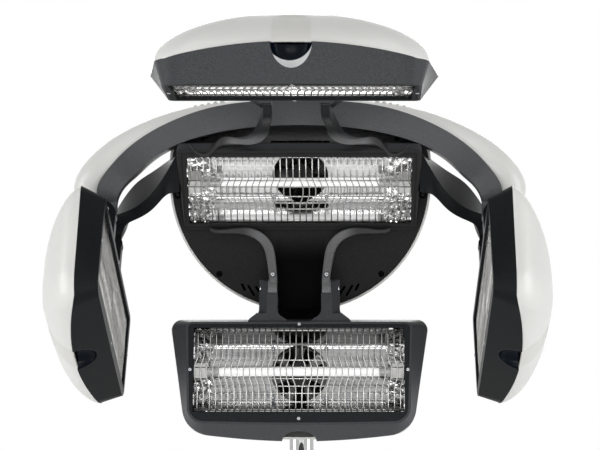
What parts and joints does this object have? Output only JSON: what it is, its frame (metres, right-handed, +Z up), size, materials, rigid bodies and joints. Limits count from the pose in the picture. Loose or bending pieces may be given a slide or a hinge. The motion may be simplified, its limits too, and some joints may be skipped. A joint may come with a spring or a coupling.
{
  "type": "hair color processor",
  "caption": "Salon infrared hair processor head: a rear heater in a round housing with hinged heater heads above, below and at both sides, on a tilting chrome stem.",
  "frame": {"origin": "on the stem tube's axis at its lower end", "axes": "+Z up the stem, +Y to the rear, -Y towards the client, +X to the right in front view"},
  "size_m": [0.6588, 0.5577, 0.5666],
  "materials": {
    "white_shell": "satin gloss",
    "black_casing": "fine spark-eroded satin",
    "black_bezel": "satin",
    "grille_wire": "polished",
    "reflector_sheet": "bright",
    "lamp_tube": "frosted",
    "lamp_ceramic": "unglazed",
    "fan_plastic": "semi-matt",
    "chrome_tube": "polished",
    "steel_pin": "turned",
    "button_plastic": "satin"
  },
  "bodies": {
    "stem": {"stem_tube": "chrome_tube", "stem_knuckle": "steel_pin"},
    "housing": {"front_panel": "black_casing", "rear_cover": "white_shell", "neck": "black_casing", "arch_band": "black_casing", "arch_hood": "white_shell", "left_arm": "black_casing", "right_arm": "black_casing", "upper_brackets": "black_casing", "lower_brackets": "black_casing", "pivot_pins": "steel_pin", "control_panel": "black_bezel", "rear_bezel": "black_bezel", "rear_grille": "grille_wire", "rear_reflector": "reflector_sheet", "rear_lamp": "lamp_tube", "rear_lamp_sockets": "lamp_ceramic", "rear_fan_frame": "fan_plastic"},
    "top_head": {"top_shell": "white_shell", "top_casing": "black_casing", "top_bezel": "black_bezel", "top_grille": "grille_wire", "top_reflector": "reflector_sheet", "top_lamp": "lamp_tube", "top_lamp_sockets": "lamp_ceramic", "top_fan_frame": "fan_plastic"},
    "lower_head": {"lower_shell": "white_shell", "lower_casing": "black_casing", "lower_bezel": "black_bezel", "lower_grille": "grille_wire", "lower_reflector": "reflector_sheet", "lower_lamp": "lamp_tube", "lower_lamp_sockets": "lamp_ceramic", "lower_fan_frame": "fan_plastic"},
    "left_head": {"left_shell": "white_shell", "left_casing": "black_casing", "left_bezel": "black_bezel", "left_grille": "grille_wire", "left_reflector": "reflector_sheet", "left_lamp": "lamp_tube", "left_lamp_sockets": "lamp_ceramic", "left_fan_frame": "fan_plastic"},
    "right_head": {"right_shell": "white_shell", "right_casing": "black_casing", "right_bezel": "black_bezel", "right_grille": "grille_wire", "right_reflector": "reflector_sheet", "right_lamp": "lamp_tube", "right_lamp_sockets": "lamp_ceramic", "right_fan_frame": "fan_plastic"},
    "top_fan": {"top_fan_rotor": "fan_plastic"},
    "lower_fan": {"lower_fan_rotor": "fan_plastic"},
    "left_fan": {"left_fan_rotor": "fan_plastic"},
    "right_fan": {"right_fan_rotor": "fan_plastic"},
    "rear_fan": {"rear_fan_rotor": "fan_plastic"},
    "less_button": {"less_button": "button_plastic"},
    "start_button": {"start_button": "button_plastic"},
    "more_button": {"more_button": "button_plastic"},
    "power_switch": {"power_switch": "button_plastic"}
  },
  "joints": [
    {"name": "housing_tilt", "type": "hinge", "parent": "stem", "child": "housing", "pos_m": [0, 0, 0.22], "axis": [1, 0, 0], "range_deg": [-10, 10]},
    {"name": "top_hinge", "type": "hinge", "parent": "housing", "child": "top_head", "pos_m": [0, -0.30211, 0.48485], "axis": [-1, 0, 0], "range_deg": [-15, 15]},
    {"name": "lower_hinge", "type": "hinge", "parent": "housing", "child": "lower_head", "pos_m": [0, -0.11118, 0.23964], "axis": [1, 0, 0], "range_deg": [-20, 8]},
    {"name": "left_hinge", "type": "hinge", "parent": "housing", "child": "left_head", "pos_m": [-0.256, -0.09372, 0.31696], "axis": [0, 0.829, -0.5592], "range_deg": [-10, 25]},
    {"name": "right_hinge", "type": "hinge", "parent": "housing", "child": "right_head", "pos_m": [0.256, -0.09372, 0.31696], "axis": [0, -0.829, 0.5592], "range_deg": [-10, 25]},
    {"name": "top_fan_spin", "type": "hinge", "parent": "top_head", "child": "top_fan", "pos_m": [0, -0.40985, 0.53009], "axis": [0, 0.0663, 0.9978], "continuous": true},
    {"name": "lower_fan_spin", "type": "hinge", "parent": "lower_head", "child": "lower_fan", "pos_m": [0, -0.098, 0.12353], "axis": [0, 0.9763, -0.2164], "continuous": true},
    {"name": "left_fan_spin", "type": "hinge", "parent": "left_head", "child": "left_fan", "pos_m": [-0.294, -0.15551, 0.22536], "axis": [-1, 0, 0], "continuous": true},
    {"name": "right_fan_spin", "type": "hinge", "parent": "right_head", "child": "right_fan", "pos_m": [0.294, -0.15551, 0.22536], "axis": [1, 0, 0], "continuous": true},
    {"name": "rear_fan_spin", "type": "hinge", "parent": "housing", "child": "rear_fan", "pos_m": [0, -0.06538, 0.39772], "axis": [0, 0.8572, 0.515], "continuous": true},
    {"name": "less_button_press", "type": "slide", "parent": "housing", "child": "less_button", "axis": [0, -1, 0], "range_m": [0, 0.001], "stiffness_N_per_m": 1500, "springref_m": -0.0005},
    {"name": "start_button_press", "type": "slide", "parent": "housing", "child": "start_button", "axis": [0, -1, 0], "range_m": [0, 0.001], "stiffness_N_per_m": 1500, "springref_m": -0.0005},
    {"name": "more_button_press", "type": "slide", "parent": "housing", "child": "more_button", "axis": [0, -1, 0], "range_m": [0, 0.001], "stiffness_N_per_m": 1500, "springref_m": -0.0005},
    {"name": "power_switch_rock", "type": "hinge", "parent": "housing", "child": "power_switch", "pos_m": [-0.042, 0.0518, 0.371], "axis": [-1, 0, 0], "range_deg": [0, 14]}
  ]
}
